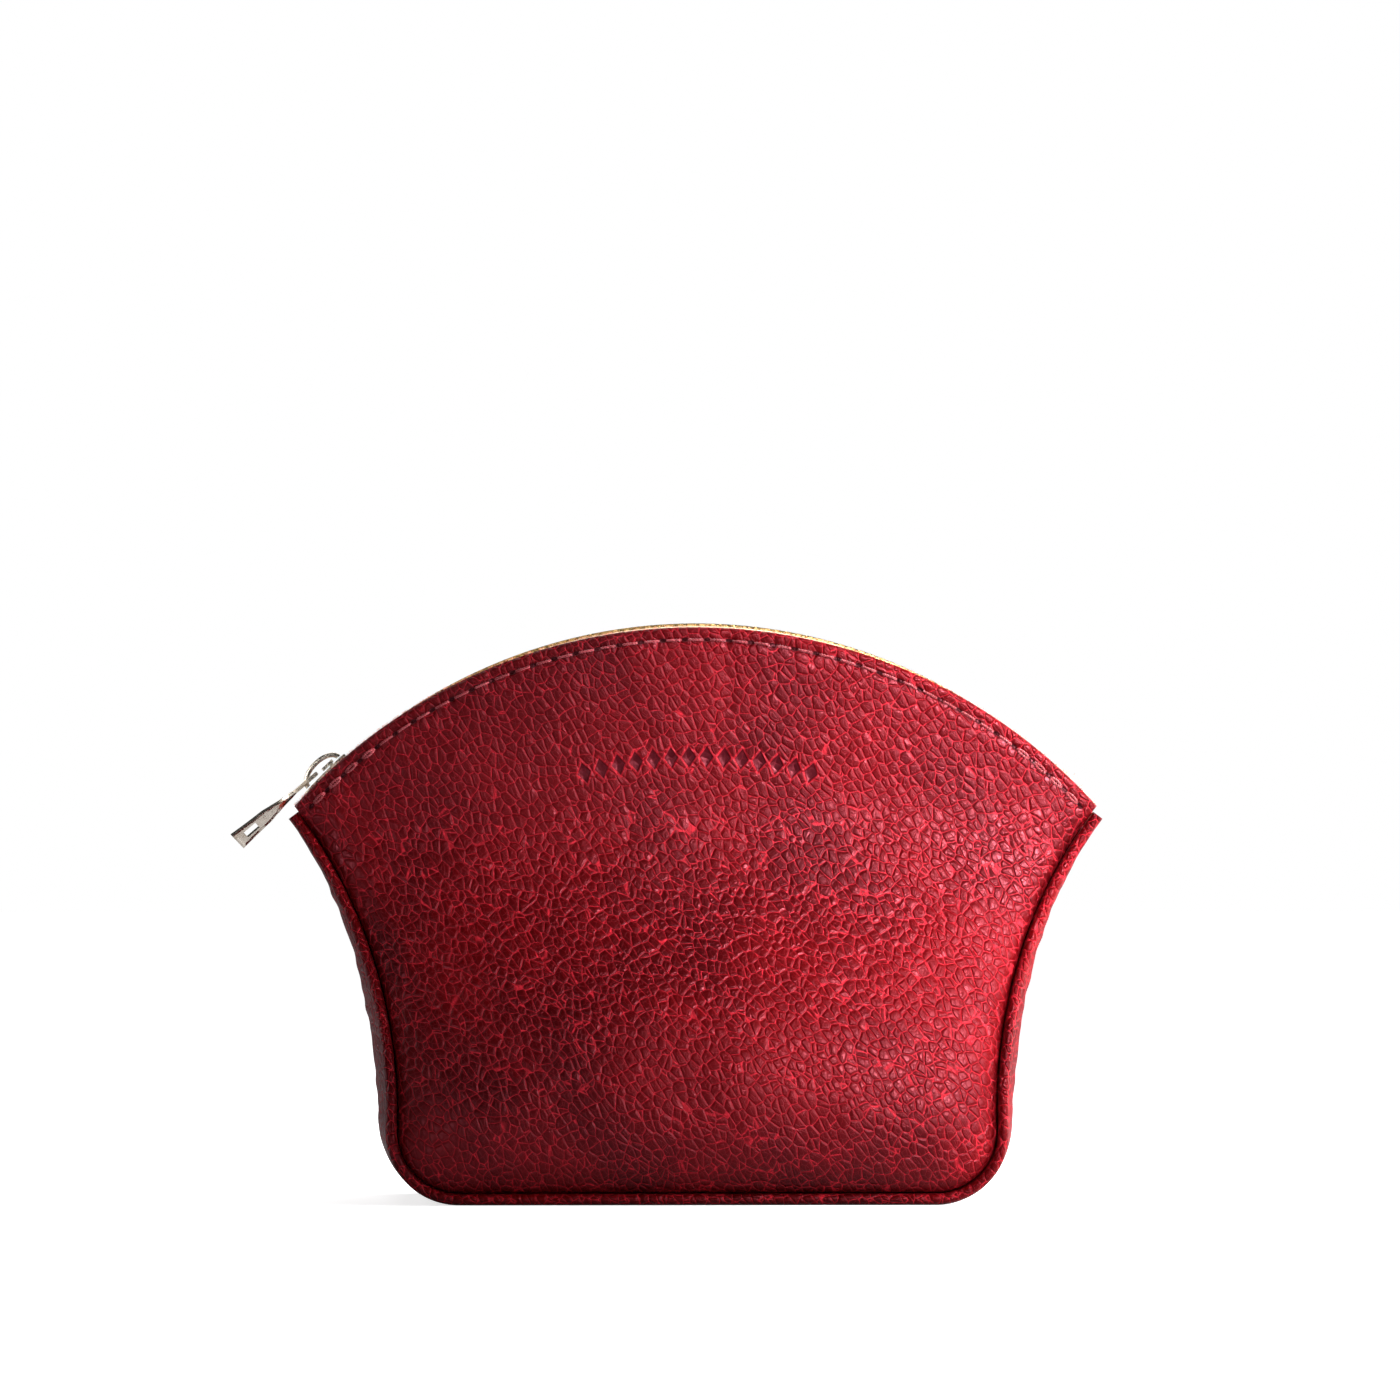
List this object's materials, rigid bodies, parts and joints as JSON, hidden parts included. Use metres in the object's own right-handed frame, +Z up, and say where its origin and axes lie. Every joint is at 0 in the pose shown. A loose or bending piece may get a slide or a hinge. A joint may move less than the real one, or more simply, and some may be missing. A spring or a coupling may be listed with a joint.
{
  "type": "zippered pouch",
  "caption": "Half-moon leather pouch with a gusseted base and an arched metal zip along its top edge.",
  "frame": {"origin": "middle of the flat base the pouch stands on", "axes": "+Z up; +X along the zip, from its closed end to its open end; the front panel faces -Y"},
  "size_m": [0.2176, 0.0708, 0.1439],
  "materials": {
    "red_leather": "pebbled, semi-gloss",
    "zip_tape": "woven, matte",
    "thread": "waxed twisted thread",
    "brass_teeth": "polished",
    "pale_gold": "plated, mirror-polished"
  },
  "bodies": {
    "pouch": {"gusset": "red_leather", "front_panel": "red_leather", "front_seam_thread": "thread", "top_stop_front": "brass_teeth", "front_tape_left": "zip_tape", "front_teeth_left": "brass_teeth", "front_topstitch_left": "thread", "front_tape_right": "zip_tape", "front_teeth_right": "brass_teeth", "front_topstitch_right": "thread", "back_panel": "red_leather", "back_seam_thread": "thread", "top_stop_back": "brass_teeth", "back_tape_left": "zip_tape", "back_teeth_left": "brass_teeth", "back_topstitch_left": "thread", "back_tape_right": "zip_tape", "back_teeth_right": "brass_teeth", "back_topstitch_right": "thread", "bottom_stop": "brass_teeth"},
    "front_mouth": {"front_panel_top": "red_leather", "front_tape_middle": "zip_tape", "front_teeth_middle": "brass_teeth", "front_topstitch_middle": "thread"},
    "back_mouth": {"back_panel_top": "red_leather", "back_tape_middle": "zip_tape", "back_teeth_middle": "brass_teeth", "back_topstitch_middle": "thread"},
    "slider": {"slider_body": "pale_gold", "slider_crown": "pale_gold", "slider_pawl": "pale_gold"},
    "puller": {"puller": "pale_gold"}
  },
  "joints": [
    {"name": "slider_travel", "type": "hinge", "parent": "pouch", "child": "slider", "pos_m": [0, 0, 0.01404], "axis": [0, 1, 0], "range_deg": [0, 90]},
    {"name": "puller_swing", "type": "hinge", "parent": "slider", "child": "puller", "pos_m": [-0.0949, 0, 0.1061], "axis": [0, 1, 0], "range_deg": [0, 150]},
    {"name": "front_mouth_flex", "type": "hinge", "parent": "pouch", "child": "front_mouth", "pos_m": [0, -0.009, 0.11197], "axis": [1, 0, 0], "range_deg": [0, 38]},
    {"name": "back_mouth_flex", "type": "hinge", "parent": "pouch", "child": "back_mouth", "pos_m": [0, 0.009, 0.11197], "axis": [-1, 0, 0], "range_deg": [0, 38]}
  ]
}
